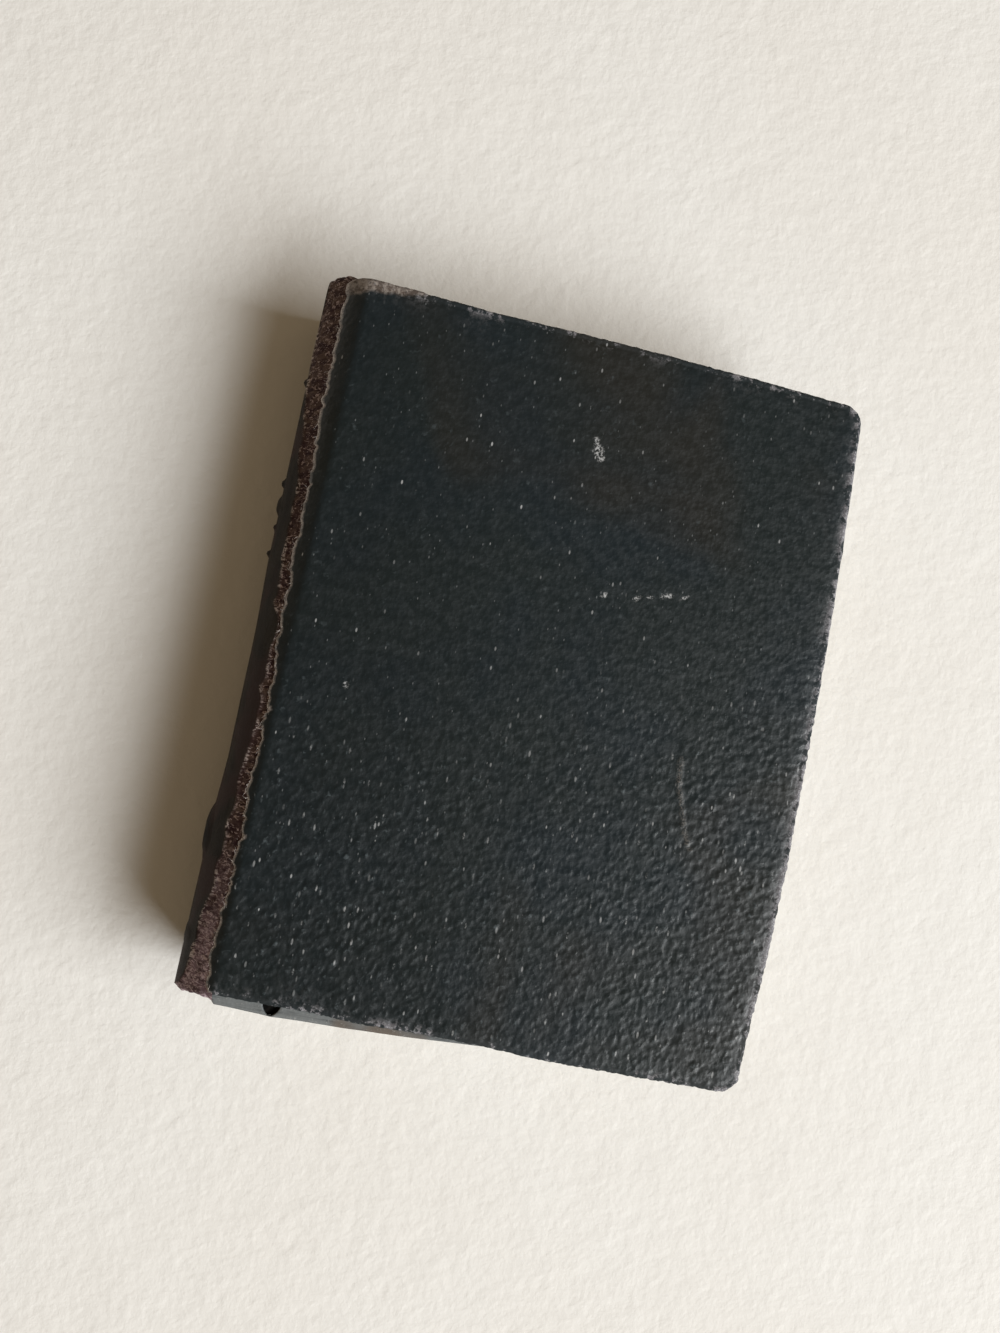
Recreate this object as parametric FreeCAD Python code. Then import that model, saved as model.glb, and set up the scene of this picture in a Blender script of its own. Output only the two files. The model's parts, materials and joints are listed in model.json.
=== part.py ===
import FreeCAD, Part
import math
import os

# A small leather-bound prayer book, closed and lying on its back cover, in millimetres.
# +X runs from the spine to the fore-edge, +Y from the tail to the head, and +Z from the back
# cover to the front cover. The origin is under the middle of the book, on what it lies on.

Vector = FreeCAD.Vector
ALONG_Y = Vector(0, 1, 0)
BACK, FRONT = "back", "front"

# Driving dimensions: the covers
cover_height = 76.0  # tail to head, leather included
cover_width = 56.0  # joint to fore-edge, leather included
corner_radius = 2.0  # the two fore-edge corners of each cover
board_thickness = 1.2
leather_thickness = 0.45
leather_turn_in = 6.0  # how far the leather folds in over the board
pared_leather = 0.3  # the turned-in leather, pared thin, and the lining paper between it
pastedown_thickness = 0.1
pastedown_margin = 1.6  # from the pastedown to the edge of the cover
edge_rounding = 0.35  # of the leather round the outer face

# Driving dimensions: the spine
spine_depth = 4.6  # how far the round spine stands out past the joint
spine_liner_thickness = 0.3
spine_hollow = 0.14  # air between the turned-in leather and the gauze on the folds
gauze_thickness = 0.15
spine_turn_in = 5.0  # the leather folded in at the head and the tail of the spine

# Driving dimensions: the text block
paper_thickness = 0.09
paper_gap = 0.01  # air between sheets
gathering_count = 10
sheets_per_gathering = 4
fold_gap = 0.12  # between the two innermost pages, where the thread lies
square = 1.4  # how far the covers stand past the text block
leaf_gap = 0.03  # air round a leaf that turns
guard_width = 1.5  # from the joint to where a single leaf starts to turn
hinge_gap = 0.5  # from a turning leaf's axis to its paper
endpaper_hinge = 0.9  # from the joint to the free endpaper's axis

# Driving dimensions: the sewing
cord_diameter = 0.8
cord_spacing = 18.0
kettle_diameter = 0.4
kettle_from_end = 7.0  # from the end of the text block to the kettle stitch
kerf_clearance = 0.05  # round a cord in its sawn groove
thread_diameter = 0.1
thread_clearance = 0.08  # from a cord to the thread that passes round it
headband_diameter = 1.1
headband_inset = 0.1  # from the gauze to the headband

# Driving dimensions: the joints
joint_gap = 0.08  # from the hinge line to the leather on each side of it
hinge_lift = 0.05  # from the cover's face to the hinge line

# The single leaves that turn on their own, from the cover inwards
front_leaves = ["front_flyleaf", "half_title_leaf", "title_leaf", "calendar_leaf", "opening_leaf"]
back_leaves = ["back_flyleaf", "closing_leaf", "index_leaf"]

# The stack, from the back cover's face up
covering = leather_thickness + board_thickness + pared_leather
cover_thickness = covering + pastedown_thickness
leaf_pitch = paper_thickness + leaf_gap
sheet_pitch = paper_thickness + paper_gap
gathering_thickness = 2 * sheets_per_gathering * sheet_pitch - 2 * paper_gap + fold_gap
gathering_pitch = gathering_thickness + paper_gap
back_stack = cover_thickness + leaf_gap + leaf_pitch * (1 + len(back_leaves))
front_stack = cover_thickness + leaf_gap + leaf_pitch * (1 + len(front_leaves))
folds_thickness = gathering_count * gathering_pitch - paper_gap
total_thickness = back_stack + folds_thickness + front_stack
middle_z = total_thickness / 2

# The plan
left_x = -(spine_depth + cover_width) / 2
joint_x = left_x + spine_depth
right_x = joint_x + cover_width
text_height = cover_height - 2 * square
text_right_x = right_x - square
guard_x = joint_x + guard_width

# The round spine: every layer is an arc about one centre line
spine_radius = (middle_z**2 + spine_depth**2) / (2 * spine_depth)
spine_centre_x = left_x + spine_radius
liner_radius = spine_radius - leather_thickness
turn_in_radius = liner_radius - spine_liner_thickness
hollow_radius = turn_in_radius - pared_leather
gauze_radius = hollow_radius - spine_hollow
fold_radius = gauze_radius - gauze_thickness
kerf_past = 1.0  # how far a groove's cutter reaches outside the folds


def z_at(side, level):
    """The height of a level counted inwards from the outer face of a cover."""
    return level if side == BACK else total_thickness - level


def arc_x(radius, z):
    """Where an arc about the spine's centre line stands at this height, on the spine side."""
    return spine_centre_x - math.sqrt(radius**2 - (z - middle_z) ** 2)


def box(x, y, z):
    """A box between two values on each axis, in either order."""
    low = Vector(min(x), min(y), min(z))
    return Part.makeBox(max(x) - low.x, max(y) - low.y, max(z) - low.z, low)


def panel(x, height, side, levels, radius):
    """A flat sheet with its two fore-edge corners rounded, between two levels of a cover."""
    half = height / 2
    bend = radius * (1 - math.sqrt(0.5))
    z = min(z_at(side, level) for level in levels)
    left, right = x

    def at(px, py):
        return Vector(px, py, z)

    edges = [
        Part.LineSegment(at(left, half), at(left, -half)),
        Part.LineSegment(at(left, -half), at(right - radius, -half)),
        Part.Arc(
            at(right - radius, -half),
            at(right - bend, bend - half),
            at(right, radius - half),
        ),
        Part.LineSegment(at(right, radius - half), at(right, half - radius)),
        Part.Arc(
            at(right, half - radius),
            at(right - bend, half - bend),
            at(right - radius, half),
        ),
        Part.LineSegment(at(right - radius, half), at(left, half)),
    ]
    face = Part.Face(Part.Wire([e.toShape() for e in edges]))
    return face.extrude(Vector(0, 0, abs(levels[1] - levels[0])))


def layer(inner, outer, y, z, x_limit):
    """A length of an arched layer of the spine, cut off at a plane across the joint."""
    centre = Vector(spine_centre_x, min(y), middle_z)
    length = max(y) - min(y)
    tube = Part.makeCylinder(outer, length, centre, ALONG_Y)
    tube = tube.cut(Part.makeCylinder(inner, length, centre, ALONG_Y))
    return tube.common(box((spine_centre_x - outer, x_limit), y, z))


def bead(radius, diameter, y, z):
    """A round cord bent along an arc of the spine, between two heights."""
    start, end = (math.asin((level - middle_z) / radius) for level in z)
    centre = Vector(spine_centre_x, y, middle_z)
    out = Vector(-math.cos(start), 0, math.sin(start))
    along = Vector(math.sin(start), 0, math.cos(start))
    circle = Part.makeCircle(diameter / 2, centre + out * radius, along)
    face = Part.Face(Part.Wire(circle))
    return face.revolve(centre, ALONG_Y, math.degrees(end - start))


# The covers


def board(side):
    x = (joint_x + joint_gap, right_x - leather_thickness)
    levels = (leather_thickness, leather_thickness + board_thickness)
    height = cover_height - 2 * leather_thickness
    return panel(x, height, side, levels, max(corner_radius - leather_thickness, 0.1))


def board_lining(side):
    """The paper that fills the board's inner face level with the turned-in leather."""
    x = (joint_x + joint_gap, right_x - leather_turn_in)
    levels = (leather_thickness + board_thickness, covering)
    return panel(x, cover_height - 2 * leather_turn_in, side, levels, corner_radius / 2)


def cover_leather(side):
    """One cover's leather: its outer face, three wrapped edges and the turn-ins."""
    x = (joint_x + joint_gap, right_x)
    skin = panel(x, cover_height, side, (0, covering), corner_radius)
    face_z = z_at(side, 0)
    rims = [
        e
        for e in skin.Edges
        if all(abs(v.Z - face_z) < 1e-6 for v in e.Vertexes)
        and any(v.X > x[0] + 1e-6 for v in e.Vertexes)
    ]
    skin = skin.makeFillet(min(edge_rounding, 0.8 * leather_thickness), rims)
    return skin.cut(board(side)).cut(board_lining(side))


def pastedown(side):
    x = (joint_x + endpaper_hinge, right_x - pastedown_margin)
    height = cover_height - 2 * pastedown_margin
    return panel(x, height, side, (covering, cover_thickness), corner_radius / 2)


# The spine


def spine_leather():
    """The spine's leather, folded over its liner at the head and the tail."""
    half = cover_height / 2
    ends = (-half, half)
    z = (0, total_thickness)
    limit = joint_x - joint_gap
    skin = layer(hollow_radius, spine_radius, ends, z, limit)
    lined = half - leather_thickness
    skin = skin.cut(layer(turn_in_radius, liner_radius, (-lined, lined), z, limit))
    bare = half - spine_turn_in
    return skin.cut(layer(hollow_radius, turn_in_radius, (-bare, bare), z, limit))


def spine_liner():
    half = cover_height / 2 - leather_thickness
    limit = joint_x - joint_gap
    return layer(turn_in_radius, liner_radius, (-half, half), (0, total_thickness), limit)


def folds_z():
    """From the bottom of the last gathering to the top of the first."""
    return back_stack, back_stack + folds_thickness


def spine_gauze():
    half = text_height / 2 - square
    low, high = folds_z()
    return layer(fold_radius, gauze_radius, (-half, half), (low, high), joint_x)


def sewing_stations():
    """Each cord's and kettle stitch's name, place along the spine and diameter."""
    kettle_y = text_height / 2 - kettle_from_end
    return [
        ("sewing_cord_head", cord_spacing, cord_diameter),
        ("sewing_cord_middle", 0.0, cord_diameter),
        ("sewing_cord_tail", -cord_spacing, cord_diameter),
        ("kettle_stitch_head", kettle_y, kettle_diameter),
        ("kettle_stitch_tail", -kettle_y, kettle_diameter),
    ]


def sewing_cord(y, diameter):
    """A cord let into the folds, from the middle of the last gathering to that of the first."""
    ends = (gathering_middle(gathering_count), gathering_middle(1))
    return bead(fold_radius - diameter / 2, diameter, y, ends)


def headband(y_sign):
    radius = fold_radius - headband_inset - headband_diameter / 2
    low, high = folds_z()
    inset = headband_diameter / 2
    y = y_sign * (text_height / 2 + inset)
    return bead(radius, headband_diameter, y, (low + inset, high - inset))


# The text block


def gathering_middle(number):
    """The height of a gathering's middle. Number 1 is the first, under the front cover."""
    return folds_z()[1] - (number - 0.5) * gathering_pitch + paper_gap / 2


def fold_x(number):
    """The centre of a gathering's fold, which touches the inside of the gauze."""
    return arc_x(fold_radius - gathering_thickness / 2, gathering_middle(number))


def leaf_width():
    """From a fold's centre to the fore-edge: one width for all, so the fore-edge is hollow."""
    return text_right_x - max(fold_x(1), fold_x(gathering_count))


def folded_sheet(number, sheet):
    """One sheet folded round the ones inside it. Sheet 0 is the outermost."""
    x, z = fold_x(number), gathering_middle(number)
    fore_edge = x + leaf_width()
    outer = gathering_thickness / 2 - sheet * sheet_pitch
    inner = outer - paper_thickness
    y = -text_height / 2

    def at(px, pz):
        return Vector(px, y, pz)

    edges = [
        Part.LineSegment(at(fore_edge, z + outer), at(x, z + outer)),
        Part.Arc(at(x, z + outer), at(x - outer, z), at(x, z - outer)),
        Part.LineSegment(at(x, z - outer), at(fore_edge, z - outer)),
        Part.LineSegment(at(fore_edge, z - outer), at(fore_edge, z - inner)),
        Part.LineSegment(at(fore_edge, z - inner), at(x, z - inner)),
        Part.Arc(at(x, z - inner), at(x - inner, z), at(x, z + inner)),
        Part.LineSegment(at(x, z + inner), at(fore_edge, z + inner)),
        Part.LineSegment(at(fore_edge, z + inner), at(fore_edge, z + outer)),
    ]
    face = Part.Face(Part.Wire([e.toShape() for e in edges]))
    return face.extrude(Vector(0, text_height, 0))


def kerfs(number):
    """The sawn grooves across one gathering's folds."""
    z = gathering_middle(number)
    reach = gathering_thickness
    cutters = []
    for _, y, diameter in sewing_stations():
        half = diameter / 2 + kerf_clearance
        inner = fold_radius - diameter - kerf_clearance
        outer = fold_radius + kerf_past
        span = (y - half, y + half)
        cutters.append(layer(inner, outer, span, (z - reach, z + reach), guard_x))
    return Part.makeCompound(cutters)


def gathering(number):
    grooves = kerfs(number)
    sheets = []
    for sheet in range(sheets_per_gathering):
        sheets += folded_sheet(number, sheet).cut(grooves).Solids
    return Part.makeCompound(sheets)


def sewing_threads():
    """One thread inside each gathering's fold, from kettle stitch to kettle stitch."""
    length = text_height - 2 * kettle_from_end
    radius = fold_radius - cord_diameter - thread_clearance - thread_diameter / 2
    threads = []
    for number in range(1, gathering_count + 1):
        z = gathering_middle(number)
        start = Vector(arc_x(radius, z), -length / 2, z)
        threads.append(Part.makeCylinder(thread_diameter / 2, length, start, ALONG_Y))
    return Part.makeCompound(threads)


# The endpapers and the single leaves


def leaf_levels(order):
    """A turning leaf's two faces. Order 0 is the free endpaper, next to the cover."""
    near = cover_thickness + leaf_gap + order * leaf_pitch
    return near, near + paper_thickness


def free_endpaper(side):
    x = (joint_x + endpaper_hinge + hinge_gap, text_right_x)
    return panel(x, text_height, side, leaf_levels(0), corner_radius / 2)


def turning_leaf(side, order):
    x = (guard_x + hinge_gap, text_right_x)
    return panel(x, text_height, side, leaf_levels(order), corner_radius / 2)


def guard(side, count):
    """The stub that the single leaves on one side of the text block are hinged to."""
    outer = leaf_levels(1)[0]
    inner = leaf_levels(count)[1]
    x = (arc_x(fold_radius, z_at(side, outer)), guard_x)
    half = text_height / 2
    return box(x, (-half, half), (z_at(side, outer), z_at(side, inner)))


def hinge_axes():
    """Each joint's place as (x, z). Every axis runs along Y."""
    axes = {}
    for side, leaves in ((FRONT, front_leaves), (BACK, back_leaves)):
        axes[f"{side}_cover"] = (joint_x, z_at(side, -hinge_lift))
        middle = sum(leaf_levels(0)) / 2
        axes[f"{side}_free_endpaper"] = (joint_x + endpaper_hinge, z_at(side, middle))
        for order, name in enumerate(leaves, 1):
            axes[name] = (guard_x, z_at(side, sum(leaf_levels(order)) / 2))
    return axes


def nodes():
    """Every sub-part by name."""
    made = {
        "spine_leather": spine_leather(),
        "spine_liner": spine_liner(),
        "spine_gauze": spine_gauze(),
        "headband": headband(1),
        "tailband": headband(-1),
        "sewing_threads": sewing_threads(),
    }
    for name, y, diameter in sewing_stations():
        made[name] = sewing_cord(y, diameter)
    for number in range(1, gathering_count + 1):
        made[f"gathering_{number:02d}"] = gathering(number)
    for side, leaves in ((FRONT, front_leaves), (BACK, back_leaves)):
        made[f"{side}_board"] = board(side)
        made[f"{side}_board_lining"] = board_lining(side)
        made[f"{side}_cover_leather"] = cover_leather(side)
        made[f"{side}_pastedown"] = pastedown(side)
        made[f"{side}_free_endpaper"] = free_endpaper(side)
        made[f"{side}_guard"] = guard(side, len(leaves))
        for order, name in enumerate(leaves, 1):
            made[name] = turning_leaf(side, order)
    return made


def main():
    os.makedirs("parts", exist_ok=True)
    for name, shape in nodes().items():
        shape.exportStep(f"parts/{name}.step")
        print(f"{name}: {len(shape.Solids)} solid, {shape.Volume:.1f} mm3, valid {shape.isValid()}")
    print(f"total thickness {total_thickness:.3f}, spine radius {spine_radius:.3f}")
    for name, (x, z) in hinge_axes().items():
        print(f"hinge {name}: x {x:.3f} z {z:.3f}")


if __name__ == "__main__":
    main()
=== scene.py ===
import json
import math

import bmesh
import bpy
import numpy as np
from mathutils import Matrix, Vector


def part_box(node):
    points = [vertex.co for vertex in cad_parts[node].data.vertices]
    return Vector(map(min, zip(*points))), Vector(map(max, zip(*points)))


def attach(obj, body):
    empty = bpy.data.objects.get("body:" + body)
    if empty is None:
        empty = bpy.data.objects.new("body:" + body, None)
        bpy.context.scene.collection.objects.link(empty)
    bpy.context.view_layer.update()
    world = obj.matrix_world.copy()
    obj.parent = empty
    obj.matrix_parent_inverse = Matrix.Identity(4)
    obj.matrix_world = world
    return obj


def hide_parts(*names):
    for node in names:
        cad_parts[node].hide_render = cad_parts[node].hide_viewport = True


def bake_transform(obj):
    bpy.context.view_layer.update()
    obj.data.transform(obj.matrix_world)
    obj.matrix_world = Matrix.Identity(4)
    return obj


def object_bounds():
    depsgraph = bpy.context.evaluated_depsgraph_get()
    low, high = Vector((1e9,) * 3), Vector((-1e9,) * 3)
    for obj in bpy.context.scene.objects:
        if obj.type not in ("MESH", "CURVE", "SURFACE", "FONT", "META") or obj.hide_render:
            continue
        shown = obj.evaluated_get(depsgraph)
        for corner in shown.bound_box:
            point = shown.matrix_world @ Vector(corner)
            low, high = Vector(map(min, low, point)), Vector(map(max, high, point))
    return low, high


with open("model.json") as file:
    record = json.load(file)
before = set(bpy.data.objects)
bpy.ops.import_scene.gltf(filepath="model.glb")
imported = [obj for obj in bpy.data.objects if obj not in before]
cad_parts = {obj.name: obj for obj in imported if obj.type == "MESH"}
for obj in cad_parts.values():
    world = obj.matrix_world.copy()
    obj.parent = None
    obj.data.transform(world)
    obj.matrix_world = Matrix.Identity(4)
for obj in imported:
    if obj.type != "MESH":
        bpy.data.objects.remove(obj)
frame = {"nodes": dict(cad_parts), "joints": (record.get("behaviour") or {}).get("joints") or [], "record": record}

# The looks of a small old prayer book in pebbled black leather. Everything is in metres, in the
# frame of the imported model: the spine is at -X, the head at +Y, and the front cover on top.

MM = 0.001
cad_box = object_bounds()

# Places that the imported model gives
LEATHER_LOW, LEATHER_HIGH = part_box("front_cover_leather")
SPINE_LOW, SPINE_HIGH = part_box("spine_leather")
PAGES_LOW, PAGES_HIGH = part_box("gathering_01")
HINGE = {j["name"]: Vector(j["pos_m"]) for j in frame["joints"]}
HINGE_X = HINGE["front_cover_hinge"].x
TOP = LEATHER_HIGH.z
MIDDLE = TOP / 2
HALF_HEIGHT = LEATHER_HIGH.y
FORE_EDGE = LEATHER_HIGH.x
COVERING = LEATHER_HIGH.z - LEATHER_LOW.z
SPINE_DEPTH = HINGE_X - SPINE_LOW.x
SPINE_RADIUS = (MIDDLE**2 + SPINE_DEPTH**2) / (2 * SPINE_DEPTH)
SPINE_CENTRE_X = SPINE_LOW.x + SPINE_RADIUS
JOINT_ANGLE = math.asin(MIDDLE / SPINE_RADIUS)

# The leather over the covers
GRID_STEP = 0.24 * MM
BACK_GRID_STEP = 0.34 * MM
CORNER_RADIUS = 2.0 * MM
EDGE_ROUNDING = 0.5 * MM
INNER_ROUNDING = 0.25 * MM
TURN_IN_SHOWN = 1.8 * MM
TORN_CORNER = 1.5 * MM  # where the torn layer ends at the head
PULL_REACH = 3.5 * MM  # the sheet's grid follows the torn line this far past the joint
BACK_START = 0.09 * MM  # the back cover's leather starts this far past the joint
EDGE_REACH = 9 * MM  # how far in from the edges the worn outline bends the sheet
OUTLINE_BLUR = 0.09  # raggedness of the worn outline, in mm
BACK_BOW = 0.4 * MM  # how far the back cover's fore-edge bows out in the middle

# How far the worn edges stand out from the straight ones, in mm: (height, out) along the
# fore-edge and the spine, (x, out) along the head and the tail, and (angle, out) at the head cap
FORE_LINE = ((-38, -0.2), (-34, -0.1), (-29, 0.2), (-24, 0.6), (-14, 1.0), (5, 1.1), (16, 1.0))
FORE_LINE += ((21, 0.9), (26, 0.72), (31, 0.58), (36, 0.38), (38, 0.3))
HEAD_LINE = ((-26, 1.0), (-17, 0.88), (-12, 0.72), (-2, 0.76), (8, 0.62), (18, 0.35), (28, 0.0))
TAIL_LINE = ((-26, -0.34), (-15, -0.26), (-10, 0.0), (-4, -0.15), (3, 0.0), (9, 0.3), (28, 0.25))
SPINE_LINE = ((-38, 0.1), (-20, 0.05), (-14, -0.2), (0, -0.1), (8, 0.22), (20, 0.3), (36, 0.4))
HEAD_CAP = ((-65, 0.3), (-10, 0.9), (4, 1.4), (14, 1.9), (30, 2.0), (42, 1.7), (52, 1.2), (65, 0.9))
# How wide the raw fringe along the head and the loosened strip along the tail are: (x, width)
FRINGE_LINE = ((-27, 1.2), (-25, 0.85), (-23, 0.55), (-21, 0.22), (-19.5, -0.1), (0, -0.4))
STRIP_LINE = ((-26.1, 0.75), (-22.5, 0.86), (-19.5, 1.0), (-17.7, 0.95), (-13, 0.88), (-8.2, 0.74))
STRIP_LINE += ((-5, 0.6), (0, 0.32), (4, 0.1))

EDGE_PROUD = 0.2 * MM  # how far the leather stands out past the board's edge
EDGE_SINK, EDGE_SAG = 0.04 * MM, 0.06 * MM  # the face drops this much towards its edges
FACE_SINK, FACE_ROLL = 0.05 * MM, 0.05 * MM  # how far down the face lies, and its broad waves
FRINGE_FROM, FRINGE_OUT, FRINGE_SOFT = 19 * MM, 0.15 * MM, 0.08 * MM
FRONT_SEED, BACK_SEED = 40, 90
GRAIN_DEPTH = 0.11 * MM
STRIP_DROP = 0.62 * MM  # how far the loosened strip lies below the cover's face
GRAIN_LEAN = 0.05  # how far the pebbles' length leans from the spine's direction, in radians
LIP_THICKNESS = 0.17 * MM  # of the torn grain layer over the joint
JOINT_FROM, JOINT_TO = 0.05 * MM, 0.45 * MM  # the lining in the groove, from the hinge line
JOINT_DEPTH = 0.57 * MM
JOINT_THICKNESS = 0.06 * MM
SPINE_TURN_IN = 3.2 * MM  # how much of the spine's leather is folded in at each end
SPINE_FOLD_DEPTH, SPINE_FOLD_RADIUS = 0.8 * MM, 0.45 * MM
STRIP_THICKNESS = 0.5 * MM
STRIP_END = 4.0 * MM
STRIP_SIDES = 14
HOLE_AT, HOLE_HALF = HINGE_X + 6.1 * MM, 0.95 * MM
BACKING_INNER = 0.4 * MM  # how far the layer behind the hole reaches in past the tail edge
FIBRE_COUNT = 170

# The tear along the joint, and the far side of the raw leather: (height, angle round the spine)
TEAR = ((-38, 58), (-21, 59.2), (7, 51.7), (21, 47.3), (38, 41.5))
RAW_SIDE = ((-39, -2), (-37.9, 20), (-34.5, 39), (-30, 41), (-21, 47.2), (-10, 50.4))
RAW_SIDE += ((1.5, 46.8), (9, 38.5), (21, 31), (31, 9), (38, 14))

# Chips of dry leather that stick out of the spine: (height, length, how far out, angle, and
# how far they reach to each side of that angle)
CHIPS = (
    (28.2, 1.0, 0.34, 8, 6),
    (16.6, 0.9, 0.34, 9, 5),
    (14.0, 2.0, 0.34, 5, 12),
    (8.4, 0.8, 0.34, 6, 4),
    (11.3, 0.6, 0.26, 11, 3),
    (-22.2, 6.0, 0.48, 9, 15),
    (-33.0, 2.2, 0.16, 16, 13),
)


# Noise


def lattice(i, j, seed):
    """A repeatable number from 0 to 1 at each point of a whole-number lattice."""
    n = (i.astype(np.int64) * 374761393 + j.astype(np.int64) * 668265263 + seed * 974634777)
    n = (n ^ (n >> 13)) & 0x7FFFFFFF
    n = (n * 1274126177) & 0x7FFFFFFF
    return ((n ^ (n >> 16)) & 0xFFFF) / 65535.0


def ramp(value, start, end):
    """A smooth step from 0 at start to 1 at end."""
    t = np.clip((value - start) / (end - start), 0, 1)
    return t * t * (3 - 2 * t)


def waves(x, y, size, seed, octaves=1):
    """Smooth random waves from about -1 to 1, size across."""
    total, weight, share = 0, 0, 1.0
    for octave in range(octaves):
        u, v = x / size, y / size
        i, j = np.floor(u), np.floor(v)
        fu, fv = u - i, v - j
        fu, fv = fu * fu * (3 - 2 * fu), fv * fv * (3 - 2 * fv)
        s = seed + 17 * octave
        low = lattice(i, j, s) * (1 - fu) + lattice(i + 1, j, s) * fu
        high = lattice(i, j + 1, s) * (1 - fu) + lattice(i + 1, j + 1, s) * fu
        total = total + share * (2 * (low * (1 - fv) + high * fv) - 1)
        weight, share, size = weight + share, share / 2, size / 2
    return total / weight


def pebbles(x, y, size, stretch, lean, seed):
    """A grain of pebbles: 0 in the creases, 1 on the pebbles' tops. Lean turns their length."""
    c, s = math.cos(lean), math.sin(lean)
    u, v = (x * c + y * s) / size, (y * c - x * s) / (size * stretch)
    i, j = np.floor(u), np.floor(v)
    first, second = np.full(u.shape, 9.0), np.full(u.shape, 9.0)
    for di in (-1, 0, 1):
        for dj in (-1, 0, 1):
            a, b = i + di, j + dj
            px = a + 0.5 + 0.85 * (lattice(a, b, seed) - 0.5)
            py = b + 0.5 + 0.85 * (lattice(a, b, seed + 5) - 0.5)
            far = np.hypot(px - u, py - v)
            second = np.where(far < first, first, np.minimum(second, far))
            first = np.minimum(first, far)
    return ramp(second - first, 0.0, 0.45) * (1 - 0.35 * first)


def along_x(points, x):
    """Reads a line of (x in mm, value) points at each x in metres."""
    return np.interp(x / MM, [p[0] for p in points], [p[1] for p in points])


def along(points, y):
    """Reads a line of (height in mm, value) points at each y in metres."""
    heights = [p[0] * MM for p in points]
    return np.interp(y, heights, [p[1] for p in points])


# Meshes


def grid_mesh(name, points, masks=None, keep=None):
    """A mesh from a grid of points, with its masks as point attributes. Keep marks its faces."""
    rows, columns = points.shape[:2]
    index = np.arange(rows * columns).reshape(rows, columns)
    quads = np.stack([index[:-1, :-1], index[:-1, 1:], index[1:, 1:], index[1:, :-1]], axis=-1)
    quads = quads.reshape(-1, 4) if keep is None else quads[keep]
    used = np.unique(quads)
    renumber = np.zeros(rows * columns, np.int64)
    renumber[used] = np.arange(len(used))
    return flat_mesh(
        name,
        points.reshape(-1, 3)[used],
        renumber[quads],
        {key: value.reshape(-1)[used] for key, value in (masks or {}).items()},
    )


def flat_mesh(name, points, quads, masks=None):
    """An object from points and four-sided faces, smooth shaded."""
    mesh = bpy.data.meshes.new(name)
    mesh.vertices.add(len(points))
    mesh.vertices.foreach_set("co", np.asarray(points, np.float32).ravel())
    mesh.loops.add(quads.size)
    mesh.loops.foreach_set("vertex_index", quads.ravel().astype(np.int32))
    mesh.polygons.add(len(quads))
    mesh.polygons.foreach_set("loop_start", np.arange(0, quads.size, 4, dtype=np.int32))
    mesh.polygons.foreach_set("use_smooth", np.ones(len(quads), bool))
    mesh.update(calc_edges=True)
    mesh.validate()
    for key, value in (masks or {}).items():
        layer = mesh.attributes.new(key, "FLOAT", "POINT")
        layer.data.foreach_set("value", value.astype(np.float32))
    made = bpy.data.objects.new(name, mesh)
    bpy.context.scene.collection.objects.link(made)
    return made


def paint(piece, material):
    piece.data.materials.clear()
    piece.data.materials.append(material)


# The shape of a cover's leather


def arc_z(x):
    """The height of the round spine's top at x, or the cover's face to the right of the joint."""
    inside = np.clip((SPINE_CENTRE_X - x) / SPINE_RADIUS, 0, 0.995)
    height = MIDDLE + SPINE_RADIUS * np.sqrt(1 - inside**2)
    return np.where(x < HINGE_X, np.minimum(height, TOP), TOP)


def angle_x(degrees):
    """Where the round spine stands at an angle, counted up from its middle."""
    return SPINE_CENTRE_X - SPINE_RADIUS * np.cos(np.radians(degrees))


def tear_angle(y):
    """The ragged line where the grain has torn away along the joint, in degrees."""
    rough = 1.3 * waves(y, y * 0, 2.6 * MM, 3) + 1.7 * waves(y, y * 0, 0.95 * MM, 4)
    return along(TEAR, y) + rough + 1.5 * waves(y, y * 0, 0.42 * MM, 5)


def raw_angle(y):
    """The far side of the raw leather, in degrees."""
    rough = 3.0 * waves(y, y * 0, 3.1 * MM, 8) + 2.4 * waves(y, y * 0, 1.0 * MM, 9)
    return along(RAW_SIDE, y) + rough


def grain_strength(x, y):
    """How much of the grain is left: most at the tail and the fore-edge, least at the head."""
    strength = 0.14 + 0.86 * ramp(-y + 0.25 * x, -14 * MM, 26 * MM)
    strength = strength + 0.45 * ramp(x, 12 * MM, 29 * MM) * ramp(-y, -26 * MM, 8 * MM)
    return np.clip(strength * (1 + 0.4 * waves(x, y, 7 * MM, 11, 2)), 0.08, 1.2)


def grain(x, y, seed):
    """The height of the leather's grain, from the creases up, as a share of its depth."""
    wx = x + 0.45 * MM * waves(x, y, 2.4 * MM, seed + 1)
    wy = y + 0.45 * MM * waves(x, y, 2.4 * MM, seed + 2)
    fine = pebbles(wx, wy, 0.55 * MM, 1.9, GRAIN_LEAN, seed)
    coarse = pebbles(wx, wy, 1.3 * MM, 1.5, GRAIN_LEAN - 0.9, seed + 3)
    return 0.66 * fine + 0.3 * coarse + 0.2 * waves(x, y, 0.45 * MM, seed + 6, 2)


def edge_profile(d):
    """Out and down from a cover's face to its inner side, d along the leather past the face."""
    quarter = EDGE_ROUNDING * math.pi / 2
    side = COVERING - EDGE_ROUNDING - INNER_ROUNDING
    turn = INNER_ROUNDING * math.pi / 2
    phi = np.clip(d / EDGE_ROUNDING, 0, math.pi / 2)
    psi = np.clip((d - quarter - side) / INNER_ROUNDING, 0, math.pi / 2)
    inward = np.clip(d - quarter - side - turn, 0, TURN_IN_SHOWN)
    out = EDGE_ROUNDING * np.sin(phi) - INNER_ROUNDING * (1 - np.cos(psi)) - inward
    down = EDGE_ROUNDING * (1 - np.cos(phi)) + np.clip(d - quarter, 0, side)
    return out, down + INNER_ROUNDING * np.sin(psi), phi + psi


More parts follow.
